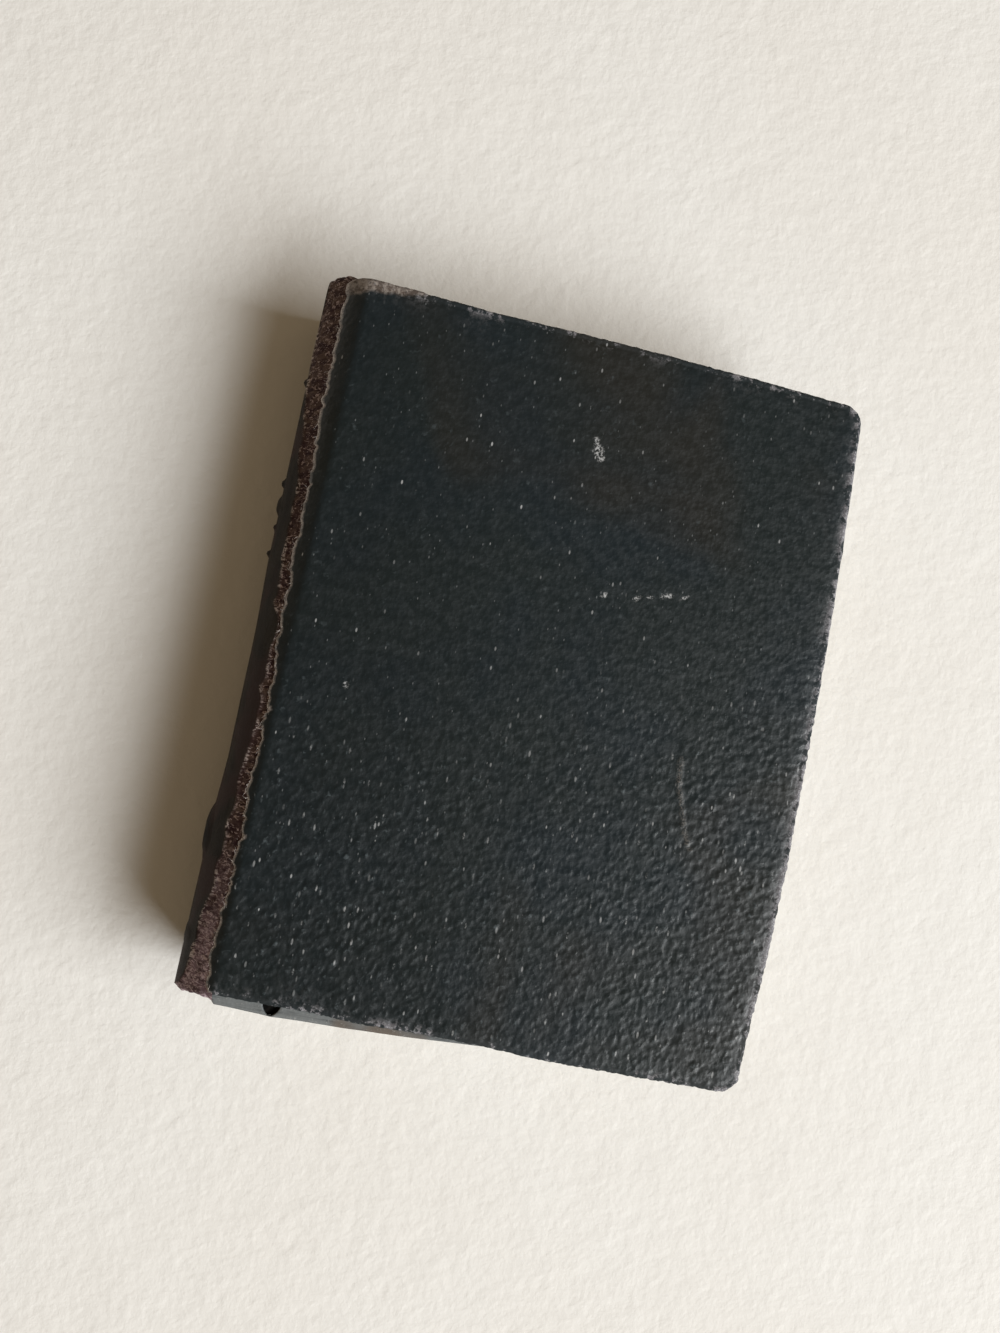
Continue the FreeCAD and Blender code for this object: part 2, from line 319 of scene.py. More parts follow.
def profile_length():
    side = COVERING - EDGE_ROUNDING - INNER_ROUNDING
    return (EDGE_ROUNDING + INNER_ROUNDING) * math.pi / 2 + side + TURN_IN_SHOWN


def sheet_grid(front, step):
    """The flat sheet's grid, s across from its left side and t along, and where s starts."""
    reach = profile_length()
    right, top = FORE_EDGE - EDGE_ROUNDING + reach, HALF_HEIGHT - EDGE_ROUNDING + reach
    rows, columns = int(2 * top / step) + 1, int((right - HINGE_X) / step) + 1
    t, share = np.meshgrid(
        np.linspace(-top, top, rows), np.linspace(0, 1, columns), indexing="ij"
    )
    if front:
        y_tear = np.clip(t, -HALF_HEIGHT, HALF_HEIGHT)
        rise = np.clip(y_tear - (HALF_HEIGHT - TORN_CORNER), 0, TORN_CORNER * 0.98)
        start = angle_x(tear_angle(y_tear)) + TORN_CORNER - np.sqrt(TORN_CORNER**2 - rise**2)
    else:
        start = HINGE_X + BACK_START + 0 * t
    base = HINGE_X + share * (right - HINGE_X)
    blend_end = HINGE_X + PULL_REACH
    pulled = start + (base - HINGE_X) * (blend_end - start) / (blend_end - HINGE_X)
    return np.where(base < blend_end, pulled, base), t, start


def past_face(s, t):
    """How far past the cover's flat face each point of the sheet lies, and which way."""
    radius = CORNER_RADIUS - EDGE_ROUNDING
    qx = s - (FORE_EDGE - EDGE_ROUNDING - radius)
    qy = np.abs(t) - (HALF_HEIGHT - EDGE_ROUNDING - radius)
    nx, ny = np.maximum(qx, 0), np.maximum(qy, 0)
    past = np.hypot(nx, ny) + np.minimum(np.maximum(qx, qy), 0) - radius
    length = np.maximum(np.hypot(nx, ny), 1e-9)
    return past, nx / length, ny / length * np.sign(t)


def worn_outline(x, y, s, t, past, ny):
    """The front cover's points moved out to its worn outline, and the mask of the raw fringe."""
    outward = along_x(HEAD_LINE, x) * (t > 0) - along_x(TAIL_LINE, x) * (t < 0)
    fuzz = OUTLINE_BLUR * waves(x, y, 0.6 * MM, 46, 2) * ramp(past, -0.3 * MM, 0.1 * MM)
    near_fore = ramp(s, FORE_EDGE - EDGE_REACH, FORE_EDGE - MM)
    near_end = ramp(np.abs(t), HALF_HEIGHT - EDGE_REACH, HALF_HEIGHT - MM)
    worn_x = x + (along(FORE_LINE, y) + fuzz) * MM * near_fore
    worn_y = y + (outward + fuzz * ny) * MM * near_end
    worn_to = along_x(FRINGE_LINE, s) + 0.25 * waves(s, t, 0.6 * MM, 45, 2)
    fringe = ramp(past, -worn_to * MM - FRINGE_SOFT, -worn_to * MM + FRINGE_SOFT)
    fringe = fringe * (t > 0) * ramp(-s, FRINGE_FROM, FRINGE_FROM + MM)
    return worn_x, worn_y + FRINGE_OUT * fringe, fringe


def cover_skin(name, front, step):
    """One cover's leather as one sheet: the face, three wrapped edges and the turn-ins."""
    s, t, start = sheet_grid(front, step)
    past, nx, ny = past_face(s, t)
    reach = profile_length()
    out, down, tilt = edge_profile(np.clip(past, 0, reach))
    beyond = np.maximum(past, 0)
    x = s - nx * beyond + nx * out
    y = t - ny * beyond + ny * out

    # The grain lifts the face, and the sides where the leather wraps round
    seed = FRONT_SEED if front else BACK_SEED
    flat = np.cos(np.clip(tilt, 0, math.pi))
    lift = GRAIN_DEPTH * grain_strength(x, y) * (grain(s, t, seed) - 0.85)
    lift = lift + FACE_ROLL * waves(x, y, 9 * MM, seed + 9, 2)
    lift = lift - FACE_SINK
    sag = EDGE_SAG * ramp(past, -1.3 * MM, 0) * (past <= 0)
    x = x + nx * lift * np.sin(tilt)
    y = y + ny * lift * np.sin(tilt)
    lift = lift - EDGE_SINK * ramp(past, -0.6 * MM, 0)
    x = x + nx * EDGE_PROUD * ramp(past, -2 * MM, 0)
    y = y + ny * EDGE_PROUD * ramp(past, -2 * MM, 0)
    if front:
        x, y, fringe = worn_outline(x, y, s, t, past, ny)
        z = arc_z(x) - down + lift * flat - sag
    else:
        fringe = 0 * s
        x = x + BACK_BOW * (1 - (y / HALF_HEIGHT) ** 2) * ramp(x, 0, FORE_EDGE)
        z = down - lift * flat + sag

    edge = np.exp(-(((past - 0.25 * MM) / (0.5 * MM)) ** 2))
    nearness = np.exp(-np.maximum(-past, 0) / (1.1 * MM))
    rim = (0.17 + 0.2 * waves(s * 0, t, 0.9 * MM, 47, 2)) * MM
    torn = ramp(start + np.maximum(rim, 0.03 * MM) - s, 0, 0.1 * MM) if front else 0 * s
    masks = {
        "edge_wear": edge,
        "near_edge": nearness,
        "torn": torn,
        "grain": grain(s, t, seed),
        "fringe": fringe,
        "strength": grain_strength(x, y),
        # painted shade: the face darkens towards the spine and the tail
        "painted_shade": ramp(x + 0.30 * y, -36 * MM, 14 * MM),
        "worn_side": np.clip(np.abs(nx) * (nx > 0) + 0.35 * (t > 0) * (ny > 0.5), 0, 1),
    }
    points = np.stack([x, y, z], axis=-1)
    if front:
        points, masks, past = with_torn_side(points, masks, past)
    lowest = np.minimum(past[:-1, :-1], past[1:, 1:])
    lowest = np.minimum(lowest, np.minimum(past[1:, :-1], past[:-1, 1:]))
    skin = grid_mesh(name, points, masks, lowest < reach)
    if front:
        skin.data.flip_normals()
    return skin


def with_torn_side(points, masks, past):
    """Adds the thickness of the torn layer: down its side and back a little way under it."""
    side = points[:, :1] + np.array([0.02 * MM, 0, -LIP_THICKNESS])
    under = points[:, :1] + np.array([0.7 * MM, 0, -LIP_THICKNESS - 0.06 * MM])
    points = np.concatenate([under, side, points], axis=1)
    more = {}
    for key, value in masks.items():
        first = value[:, :1] * 0 + (1 if key == "torn" else 0)
        more[key] = np.concatenate([first, first, value], axis=1)
    return points, more, np.concatenate([past[:, :1], past[:, :1], past], axis=1)


# The spine


def spine_skin():
    """The spine's leather from joint to joint, with its raw strip, chips and turned ends."""
    angles = np.linspace(-JOINT_ANGLE, JOINT_ANGLE, 110)
    rows = int(2 * (HALF_HEIGHT + SPINE_TURN_IN) / (0.22 * MM))
    t, a = np.meshgrid(np.linspace(-1, 1, rows), angles, indexing="ij")
    t = t * (HALF_HEIGHT + SPINE_TURN_IN)
    degrees = np.degrees(a)
    around = a * SPINE_RADIUS

    # The head is worn round, and stands a little proud of the covers
    head = HALF_HEIGHT + np.interp(degrees, *zip(*HEAD_CAP)) * MM
    tail = HALF_HEIGHT + 0.25 * MM + 0.5 * MM * ramp(np.abs(degrees - 12), 40, 8)
    ragged = 0.14 * MM * waves(around, t * 0 + np.sign(t), 0.8 * MM, 26, 2)
    half = np.where(t > 0, head, tail) + ragged
    past = np.abs(t) - HALF_HEIGHT
    phi = np.clip(past / SPINE_FOLD_RADIUS, 0, math.pi)
    straight = np.clip(past - SPINE_FOLD_RADIUS * math.pi, 0, SPINE_TURN_IN)
    near_end = ramp(np.abs(t), HALF_HEIGHT - 6 * MM, HALF_HEIGHT)
    shift = (half - HALF_HEIGHT - SPINE_FOLD_RADIUS) * near_end
    y = np.clip(np.abs(t), 0, HALF_HEIGHT) + shift + SPINE_FOLD_RADIUS * np.sin(phi) - straight
    y = y * np.sign(t)
    inward = SPINE_FOLD_DEPTH / 2 * (1 - np.cos(phi))

    raw = raw_angle(y)
    bare = ramp(degrees, raw - 1.2, raw + 1.2) * ramp(degrees, 80, 70)
    fibres = waves(around, y * 2.6, 0.9 * MM, 21, 3) + 0.6 * waves(around * 2, y, 0.3 * MM, 22, 2)
    pits = ramp(waves(around, y, 1.7 * MM, 23, 2), 0.0, 0.7)
    smooth = 0.025 * MM * waves(around, y * 0.4, 1.5 * MM, 24, 3)
    ridge = np.exp(-(((degrees - raw) / 2.2) ** 2)) * (0.5 + 0.5 * waves(y, around, 1.3 * MM, 25))
    lift = (1 - bare) * smooth + 0.10 * MM * ridge
    lift = lift + bare * (-0.16 * MM + 0.055 * MM * fibres - 0.06 * MM * pits)
    chips = chip_lift(degrees, y)
    lift = lift + chips * MM + along(SPINE_LINE, y) * MM * ramp(degrees, 38, 12)
    radius = SPINE_RADIUS + lift - inward
    x = SPINE_CENTRE_X - radius * np.cos(a)
    z = MIDDLE + radius * np.sin(a)
    z = np.clip(z, 0.02 * MM, TOP - 0.03 * MM)
    pale = ramp(y, -20 * MM, -37 * MM) * bare * ramp(waves(around, y, 1.6 * MM, 27), -0.9, 0.2)
    masks = {"raw": bare, "pale": pale, "fibres": fibres, "ridge": ridge, "chips": chips}
    return grid_mesh("spine_leather_skin", np.stack([x, y, z], axis=-1), masks)


def chip_lift(degrees, y):
    """How far the chips of dry leather stand out of the spine."""
    total = 0
    for height, long, out, angle, spread in CHIPS:
        near_y = (y / MM - height + 0.3 * waves(degrees / 9, y / MM, 0.7, 31)) / (long / 2)
        near_a = (degrees - angle + 3 * waves(degrees / 9, y / MM, 1.1, 32)) / spread
        total = np.maximum(total, out * ramp(np.hypot(near_y, near_a), 1.0, 0.25) ** 0.6)
    return total


def tear_fibres():
    """Short pale fibres that stand out of the torn edge."""
    rng = np.random.default_rng(7)
    points, quads = [], []
    for _ in range(FIBRE_COUNT):
        y = rng.uniform(-HALF_HEIGHT, HALF_HEIGHT - 1.5 * MM)
        at = float(tear_angle(np.array([y]))[0]) + rng.normal(0, 0.8)
        x = float(angle_x(at))
        z = float(arc_z(np.array([x]))[0]) if x < HINGE_X else TOP
        start = np.array([x, y, z - 0.05 * MM])
        heading = rng.uniform(0, 2 * math.pi)
        run = rng.uniform(0.18, 0.55) * MM
        direction = np.array([math.cos(heading), 1.6 * math.sin(heading), 0.25])
        direction[2] -= 0.5 * max(0.0, -direction[0])
        direction = direction / np.linalg.norm(direction)
        bend = np.array([rng.normal(0, 0.3), rng.normal(0, 0.3), 0.15]) * run
        strand(points, quads, start, direction * run, bend, rng.uniform(0.012, 0.022) * MM)
    return flat_mesh("tear_fibres", np.array(points), np.array(quads))


def strand(points, quads, start, run, bend, radius):
    """Adds one thin closed strand that tapers, as a bent four-sided prism."""
    first = len(points)
    across = np.cross(run, (0.31, 0.27, 1.0))
    across = across / np.linalg.norm(across)
    up = np.cross(across, run)
    up = up / np.linalg.norm(up)
    for share in (0.0, 0.35, 0.7, 1.0):
        centre = start + run * share + bend * share**2
        size = radius * (1.05 - 0.8 * share)
        for side in ((1, 0), (0, 1), (-1, 0), (0, -1)):
            points.append(centre + (across * side[0] + up * side[1]) * size)
    for ring in range(3):
        for k in range(4):
            a, b = first + 4 * ring + k, first + 4 * ring + (k + 1) % 4
            quads.append([a, b, b + 4, a + 4])
    quads.append([first + 3, first + 2, first + 1, first])
    quads.append([first + 12, first + 13, first + 14, first + 15])


# The loosened leather along the tail edge


def tail_strip():
    """A loosened strip of turned-in leather that shows below the tail edge, with a hole."""
    start = HINGE_X - 0.1 * MM
    x = np.linspace(start, STRIP_END, 190)
    share = (x - start) / (STRIP_END - start)
    width = along_x(STRIP_LINE, x) * MM + 0.03 * MM * waves(x, x * 0, 2 * MM, 51)
    width = width * np.sqrt(np.clip((x - start) / (0.45 * MM), 0.03, 1))
    bite = np.clip(1 - np.abs(x - HOLE_AT) / HOLE_HALF, 0, 1)
    inner = -HALF_HEIGHT + 0.6 * MM - 1.62 * MM * bite**0.35
    outer = -HALF_HEIGHT - width
    inner = np.maximum(inner, outer + 0.09 * MM)
    z_top = TOP - STRIP_DROP - 0.25 * MM * share
    rings = []
    for k in range(STRIP_SIDES):
        turn = 2 * math.pi * k / STRIP_SIDES
        flat_y = math.copysign(abs(math.cos(turn)) ** 0.45, math.cos(turn))
        flat_z = math.copysign(abs(math.sin(turn)) ** 0.45, math.sin(turn))
        y = (inner + outer) / 2 + flat_y * (inner - outer) / 2
        z = z_top - STRIP_THICKNESS / 2 + flat_z * STRIP_THICKNESS / 2
        z = z + 0.02 * MM * waves(x, y, 0.8 * MM, 52, 2)
        rings.append(np.stack([x, y, z], axis=-1))
    rings.append(rings[0])
    return closed_tube("tail_edge_strip", rings)


def strip_backing():
    """The doubled layer behind the strip's hole, painted near black as painted shade, which makes the hole a dark
    pit.
    """
    x = np.linspace(HINGE_X + 0.3 * MM, HINGE_X + 9 * MM, 40)
    edge = -HALF_HEIGHT - along_x(STRIP_LINE, x) * MM + 0.1 * MM
    edge = edge + 0.04 * MM * waves(x, x * 0, MM, 53)
    top = TOP - STRIP_DROP - 0.55 * MM
    rings = []
    for y, z in ((0, 0), (1, 0), (1, -1), (0, -1), (0, 0)):
        line = -HALF_HEIGHT + BACKING_INNER + (edge + HALF_HEIGHT - BACKING_INNER) * y
        rings.append(np.stack([x, line, top + 0.25 * MM * z + 0 * x], axis=-1))
    return closed_tube("tail_strip_backing", rings)


def closed_tube(name, lines):
    """A tube through lines of points that go round it, closed to a point at each end."""
    points = np.stack(lines, axis=0)
    middle = points.mean(axis=0)[None].repeat(len(lines), 0)
    tube = grid_mesh(name, np.concatenate([middle[:, :1], points, middle[:, -1:]], axis=1))
    weld(tube)
    return tube


def weld(piece):
    """Joins points that lie in one place, and turns the faces outwards."""
    work = bmesh.new()
    work.from_mesh(piece.data)
    bmesh.ops.remove_doubles(work, verts=work.verts, dist=1e-6)
    bmesh.ops.dissolve_degenerate(work, edges=work.edges, dist=1e-7)
    bmesh.ops.recalc_face_normals(work, faces=work.faces)
    work.to_mesh(piece.data)
    work.free()


# The lining across each joint


def joint_lining(side):
    """A strip in the joint's groove, from the text block to the cover."""
    up = 1 if side == "front" else -1
    x = HINGE_X + np.linspace(JOINT_FROM, JOINT_TO, 9)
    y = np.linspace(PAGES_LOW.y, PAGES_HIGH.y, 60)
    ys, xs = np.meshgrid(y, x, indexing="ij")
    depth = JOINT_DEPTH + 0.015 * MM * waves(xs, ys, 2 * MM, 71)
    upper = np.stack([xs, ys, HINGE[f"{side}_cover_hinge"].z - up * depth], axis=-1)
    lower = upper - np.array([0, 0, up * JOINT_THICKNESS])
    loop = np.concatenate([upper, lower[:, ::-1], upper[:, :1]], axis=1)
    sheet = grid_mesh(f"{side}_joint_lining", loop)
    weld(sheet)
    return sheet


# Materials

BAND_SIDE = 0.003
ROWS_PER_PAGE = 34.0
MIX_A, MIX_B, MIX_RESULT = 6, 7, 2  # the colour sockets of a mix node


class Shader:
    """A material's node tree, with short calls for the nodes that the materials share."""

    def __init__(self, name, roughness, specular=0.5):
        self.material = bpy.data.materials.new(name)
        self.material.use_nodes = True
        self.nodes = self.material.node_tree.nodes
        self.links = self.material.node_tree.links
        self.shader = self.nodes["Principled BSDF"]
        self.shader.inputs["Roughness"].default_value = roughness
        self.shader.inputs["Specular IOR Level"].default_value = specular
        self.place = self.nodes.new("ShaderNodeTexCoord").outputs["Object"]

    def plug(self, value, socket):
        if isinstance(value, bpy.types.NodeSocket):
            self.links.new(value, socket)
        else:
            socket.default_value = value

    def stretched(self, scale, turn=(0.0, 0.0, 0.0)):
        node = self.nodes.new("ShaderNodeMapping")
        node.inputs["Scale"].default_value = scale
        node.inputs["Rotation"].default_value = turn
        self.links.new(self.place, node.inputs["Vector"])
        return node.outputs["Vector"]

    def noise(self, scale, detail=3.0, rough=0.5, place=None, distort=0.0):
        node = self.nodes.new("ShaderNodeTexNoise")
        node.inputs["Scale"].default_value = scale
        node.inputs["Detail"].default_value = detail
        node.inputs["Roughness"].default_value = rough
        node.inputs["Distortion"].default_value = distort
        self.links.new(place or self.place, node.inputs["Vector"])
        return node.outputs["Fac"]

    def cells(self, scale, place=None):
        node = self.nodes.new("ShaderNodeTexVoronoi")
        node.inputs["Scale"].default_value = scale
        self.links.new(place or self.place, node.inputs["Vector"])
        return node

    def glint_specks(self, scale, share, size, place):
        """Small separate spots, on a share of the cells of a random pattern."""
        node = self.cells(scale, place)
        pick = self.nodes.new("ShaderNodeSeparateColor")
        self.links.new(node.outputs["Color"], pick.inputs["Color"])
        near = self.step(node.outputs["Distance"], size, size * 0.5)
        return self.math("MULTIPLY", near, self.step(pick.outputs["Red"], 1 - share, 1.0))

    def mask(self, name):
        node = self.nodes.new("ShaderNodeAttribute")
        node.attribute_name = name
        return node.outputs["Fac"]

    def math(self, operation, a, b=0.0):
        node = self.nodes.new("ShaderNodeMath")
        node.operation = operation
        self.plug(a, node.inputs[0])
        self.plug(b, node.inputs[1])
        return node.outputs["Value"]

    def step(self, value, low, high, to_low=0.0, to_high=1.0):
        node = self.nodes.new("ShaderNodeMapRange")
        node.interpolation_type = "SMOOTHSTEP"
        self.plug(value, node.inputs["Value"])
        ends = {"From Min": low, "From Max": high, "To Min": to_low, "To Max": to_high}
        for key, number in ends.items():
            node.inputs[key].default_value = number
        return node.outputs["Result"]

    def band(self, value, low, high):
        """1 where a value lies between low and high, with thin soft sides."""
        rise = self.step(value, low - BAND_SIDE, low + BAND_SIDE)
        return self.math("MULTIPLY", rise, self.step(value, high + BAND_SIDE, high - BAND_SIDE))

    def mix(self, factor, a, b):
        node = self.nodes.new("ShaderNodeMix")
        node.data_type = "RGBA"
        self.plug(factor, node.inputs["Factor"])
        for value, key in ((a, MIX_A), (b, MIX_B)):
            self.plug((*value, 1) if isinstance(value, tuple) else value, node.inputs[key])
        return node.outputs[MIX_RESULT]

    def colour(self, value):
        self.plug(value, self.shader.inputs["Base Color"])

    def rough(self, value):
        self.plug(value, self.shader.inputs["Roughness"])

    def bump(self, height, distance, strength=1.0):
        node = self.nodes.new("ShaderNodeBump")
        node.inputs["Strength"].default_value = strength
        node.inputs["Distance"].default_value = distance
        self.links.new(height, node.inputs["Height"])
        self.links.new(node.outputs["Normal"], self.shader.inputs["Normal"])


# Colours
BLACK = (0.0066, 0.0128, 0.0150)
BLUE_BLACK = (0.0055, 0.0124, 0.0172)
BROWN_BLACK = (0.0150, 0.0145, 0.0125)
LILAC_GREY = (0.155, 0.150, 0.165)
PALE_WEAR = (0.34, 0.34, 0.36)
RAW_BROWN = (0.098, 0.066, 0.056)
RAW_DARK = (0.030, 0.014, 0.017)
RAW_PALE = (0.48, 0.38, 0.37)
RAW_LILAC = (0.52, 0.42, 0.47)
FLANK = (0.0155, 0.0125, 0.0098)
# Painted shade: the black that the face darkens to towards the spine and the tail
PAINTED_SHADE_BLACK = (0.0025, 0.0062, 0.0078)
# Painted highlight on the grain's tops
TOP_HIGHLIGHT = (0.070, 0.088, 0.098)
# Painted glints, painted highlights along the grain's ridges, and faint painted glints
GLINT, RIDGE_HIGHLIGHT, FAINT_GLINT = (0.36, 0.37, 0.38), (0.34, 0.35, 0.36), (0.17, 0.18, 0.19)
DULL = (0.085, 0.088, 0.094)
SCUFF, WRINKLE = (0.42, 0.43, 0.44), (0.085, 0.080, 0.074)
FRINGE_DARK, FRINGE_PALE = (0.085, 0.066, 0.056), (0.24, 0.21, 0.19)
TORN_DARK, TORN_PALE = (0.20, 0.16, 0.15), (0.62, 0.57, 0.55)
FLANK_STREAK, FLANK_PATCH = (0.026, 0.021, 0.016), (0.034, 0.020, 0.018)
RAW_FIBRE, RAW_STAIN, RAW_ROSE = (0.145, 0.108, 0.098), (0.045, 0.022, 0.024), (0.20, 0.135, 0.165)
RAW_RIM, CHIP = (0.46, 0.40, 0.385), (0.006, 0.006, 0.006)
FOXING, INK, RULE = (0.36, 0.22, 0.10), (0.055, 0.050, 0.045), (0.28, 0.045, 0.035)
PAGE_PALE, PAGE_DARK = (0.66, 0.60, 0.49), (0.55, 0.47, 0.36)
FLOOR_WARM, FLOOR_COOL = (0.772, 0.758, 0.732), (0.787, 0.781, 0.762)


def black_leather(name, scuffs):
    """The grained leather: its colour, painted highlights on the grain's tops, painted glints, worn edges and
    marks.
    """
    s = Shader(name, 0.42, 0.42)
    tone = s.noise(70, 3.0)
    patch = s.noise(38, 2.0, 0.5, None, 0.6)
    base = s.mix(s.step(tone, 0.38, 0.66), BLACK, BLUE_BLACK)
    base = s.mix(s.step(patch, 0.54, 0.74, 0.0, 0.7), base, BROWN_BLACK)
    # painted shade, darker towards the spine and the tail
    base = s.mix(s.step(s.mask("painted_shade"), 0.0, 1.0, 0.55, 0.0), base, PAINTED_SHADE_BLACK)
    fine = s.noise(5200, 3.0, 0.6)
    crumb = s.noise(1500, 4.0, 0.65)
    broad = s.noise(230, 3.0, 0.6)
    tops = s.step(s.mask("grain"), 0.60, 0.95)
    strong = s.step(s.mask("strength"), 0.2, 1.1)
    # painted highlights on the grain's tops, stronger where the grain is strong
    top_highlight = s.math("MULTIPLY", tops, s.step(crumb, 0.50, 0.64, 0.0, 0.7))
    top_highlight = s.math("MULTIPLY", top_highlight, s.step(strong, 0.0, 1.0, 0.45, 1.0))
    base = s.mix(top_highlight, base, TOP_HIGHLIGHT)
    streaks = s.stretched((1.0, 0.45, 1.0), (0.0, 0.0, -GRAIN_LEAN))
    # painted glints: small bright specks along the grain
    glint_specks = s.glint_specks(1150, 0.34, 0.15, streaks)
    glint_specks = s.math("MULTIPLY", glint_specks, s.step(s.noise(160, 2.0), 0.36, 0.62, 0.15, 1.0))
    base = s.mix(glint_specks, base, GLINT)
    # painted highlights: bright streaks on the grain's ridges where the grain is strong
    ridge_highlights = s.glint_specks(1500, 0.62, 0.22, s.stretched((1.0, 0.34, 1.0), (0.0, 0.0, -GRAIN_LEAN)))
    ridge_highlights = s.math("MULTIPLY", s.math("MULTIPLY", ridge_highlights, strong), s.step(crumb, 0.40, 0.56))
    base = s.mix(s.math("MULTIPLY", ridge_highlights, 0.8), base, RIDGE_HIGHLIGHT)
    # faint painted glints: finer, dimmer bright specks all over
    faint_glints = s.glint_specks(2600, 0.22, 0.2, streaks)
    base = s.mix(s.math("MULTIPLY", faint_glints, 0.6), base, FAINT_GLINT)
    dull = s.math("MULTIPLY", s.mask("near_edge"), s.step(crumb, 0.44, 0.62, 0.0, 0.5))
    dull = s.math("MULTIPLY", dull, s.step(broad, 0.44, 0.60))
    base = s.mix(dull, base, DULL)
    side = s.step(s.mask("worn_side"), 0.0, 1.0, 0.02, 0.16)
    worn = s.math("ADD", s.step(broad, 0.40, 0.66, -0.1, 0.1), s.math("ADD", side, crumb))
    edge = s.math("MULTIPLY", s.mask("edge_wear"), s.step(worn, 0.57, 0.66))
    base = s.mix(edge, base, LILAC_GREY)
    bright = s.math("MULTIPLY", edge, s.step(fine, 0.50, 0.64, 0.0, 0.9))
    base = s.mix(bright, base, PALE_WEAR)
    if scuffs:
        for mask, colour in (("scuffs", SCUFF), ("wrinkle", WRINKLE)):
            broken = s.math("MULTIPLY", s.mask(mask), s.step(fine, 0.42, 0.60))
            base = s.mix(broken, base, colour)
        fringe = s.mix(s.step(crumb, 0.42, 0.60), FRINGE_DARK, FRINGE_PALE)
        base = s.mix(s.math("MULTIPLY", s.mask("fringe"), s.step(fine, 0.30, 0.42)), base, fringe)
        rim = s.mix(s.step(fine, 0.38, 0.58), TORN_DARK, TORN_PALE)
        base = s.mix(s.mask("torn"), base, rim)
    s.colour(base)
    gloss = s.step(s.noise(900, 3.0), 0.35, 0.65, 0.34, 0.50)
    gloss = s.math("ADD", gloss, s.step(s.mask("edge_wear"), 0.2, 0.9, 0.0, 0.3))
    s.rough(gloss)
    pores = s.math("ADD", s.noise(2600, 4.0, 0.6), s.cells(1900).outputs["Distance"])
    s.bump(pores, 0.04 * MM, 0.8)
    return s.material


def spine_material():
    s = Shader("spine_leather", 0.5, 0.12)
    fine = s.noise(4600, 4.0, 0.65)
    streak = s.noise(900, 4.0, 0.6, s.stretched((1.0, 0.22, 1.0)))
    flank = s.mix(s.step(streak, 0.4, 0.62), FLANK, FLANK_STREAK)
    flank = s.mix(s.step(s.noise(160, 2.0), 0.5, 0.64), flank, FLANK_PATCH)
    ribs = s.noise(1500, 4.0, 0.65, s.stretched((0.35, 1.0, 0.35)))
    raw = s.mix(s.step(ribs, 0.40, 0.60), RAW_DARK, RAW_BROWN)
    hairs = s.noise(3300, 3.0, 0.6, s.stretched((0.5, 1.0, 0.5), (0.0, 0.0, 0.6)), 1.2)
    raw = s.mix(s.step(s.mask("fibres"), 0.1, 0.9, 0.0, 0.6), raw, RAW_FIBRE)
    raw = s.mix(s.step(s.noise(330, 2.0), 0.46, 0.6, 0.0, 0.55), raw, RAW_STAIN)
    raw = s.mix(s.step(hairs, 0.54, 0.66, 0.0, 0.8), raw, RAW_PALE)
    pale = s.math("MULTIPLY", s.mask("pale"), s.step(ribs, 0.36, 0.56, 0.25, 1.0))
    raw = s.mix(pale, raw, s.mix(s.step(hairs, 0.44, 0.6), RAW_ROSE, RAW_LILAC))
    base = s.mix(s.mask("raw"), flank, raw)
    rim = s.math("MULTIPLY", s.step(s.mask("ridge"), 0.25, 0.8), s.step(hairs, 0.46, 0.60))
    base = s.mix(rim, base, RAW_RIM)
    base = s.mix(s.step(s.mask("chips"), 0.10, 0.45, 0.0, 0.55), base, CHIP)
    s.colour(base)
    s.rough(s.step(s.mask("raw"), 0.2, 0.8, 0.62, 0.9))
    relief = s.math("ADD", fine, s.math("MULTIPLY", ribs, 0.9))
    s.bump(relief, 0.06 * MM, 0.9)
    return s.material


def fibre_material():
    s = Shader("torn_fibres", 0.9, 0.2)
    shade = s.step(s.noise(900, 2.0), 0.4, 0.6)
    s.colour(s.mix(shade, (0.40, 0.35, 0.33), (0.62, 0.57, 0.54)))
    s.bump(s.noise(9000, 2.0), 0.01 * MM)
    return s.material


def strip_material():
    s = Shader("tail_strip", 0.55, 0.4)
    fine = s.noise(3600, 4.0, 0.65)
    layers = s.noise(1400, 3.0, 0.6, s.stretched((0.08, 1.0, 2.0)))
    base = s.mix(s.step(layers, 0.42, 0.58), (0.075, 0.084, 0.088), (0.150, 0.162, 0.166))
    base = s.mix(s.step(s.noise(110, 2.0), 0.5, 0.62), base, (0.120, 0.100, 0.083))
    s.colour(s.mix(s.step(fine, 0.58, 0.70, 0.0, 0.6), base, (0.30, 0.30, 0.29)))
    s.bump(s.math("ADD", fine, layers), 0.04 * MM, 0.8)
    return s.material


def hidden_leather_material():
    # painted shade: near-black leather, mottled a little, that darkens the strip's hole
    s = Shader("pit_shade_leather", 0.9, 0.1)
    shade_mottle = s.step(s.noise(1500, 4.0), 0.4, 0.6)
    s.colour(s.mix(shade_mottle, (0.003, 0.003, 0.003), (0.010, 0.009, 0.008)))
    s.bump(s.noise(3000, 4.0), 0.03 * MM)
    return s.material


def paper_shader(name, pale, dark):
    """The node tree of old paper, and its colour, for print to go on."""
    s = Shader(name, 0.86, 0.25)
    cloud = s.noise(60, 4.0, 0.6)
    base = s.mix(s.step(cloud, 0.35, 0.7), pale, dark)
    spots = s.step(s.noise(420, 3.0), 0.66, 0.74)
    spots = s.math("MULTIPLY", spots, s.step(cloud, 0.4, 0.6, 0.2, 0.35))
    base = s.mix(spots, base, FOXING)
    fibre = s.noise(2400, 5.0, 0.7)
    blank = s.mix(s.step(fibre, 0.3, 0.7, 0.0, 0.16), base, dark)
    s.colour(blank)
    s.bump(fibre, 0.012 * MM, 0.6)
    return s, blank


def paper(name, pale, dark):
    return paper_shader(name, pale, dark)[0].material


